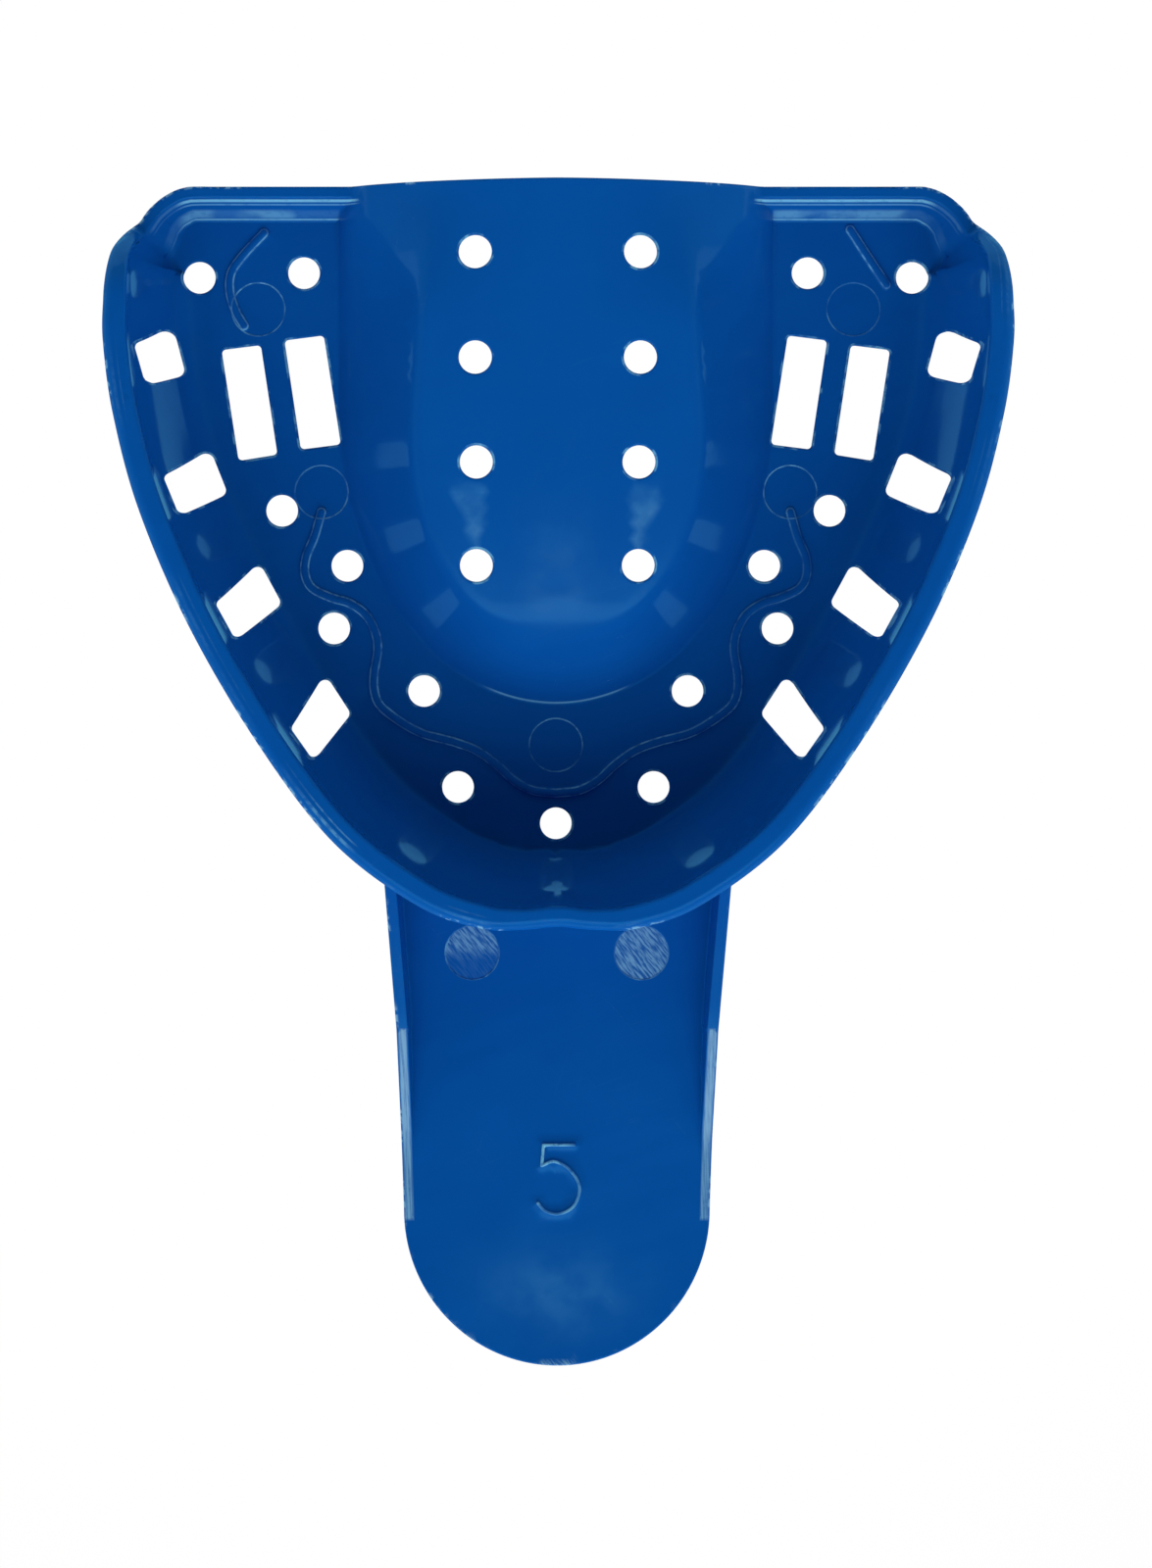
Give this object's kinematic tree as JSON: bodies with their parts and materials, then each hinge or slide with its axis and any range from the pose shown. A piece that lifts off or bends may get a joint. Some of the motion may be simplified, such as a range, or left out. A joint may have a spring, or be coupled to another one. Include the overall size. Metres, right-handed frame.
{
  "type": "dental impression tray",
  "caption": "Perforated upper-arch dental impression tray with a raised palate, tall outer flange, retention slots and a flat flanged handle.",
  "frame": {"origin": "bottom centre of the bounding box: on the mid plane, halfway along the overall length, in the plane the trough's underside rests on", "axes": "+X across the tray, +Y towards the throat end (the handle points to -Y), +Z out of the teeth side"},
  "size_m": [0.074, 0.099, 0.017],
  "materials": {
    "tray_body": "glossy blue injection-moulded polystyrene",
    "handle": "glossy blue injection-moulded polystyrene"
  },
  "bodies": {
    "root": {"tray_body": "tray_body", "handle": "handle"}
  },
  "joints": []
}
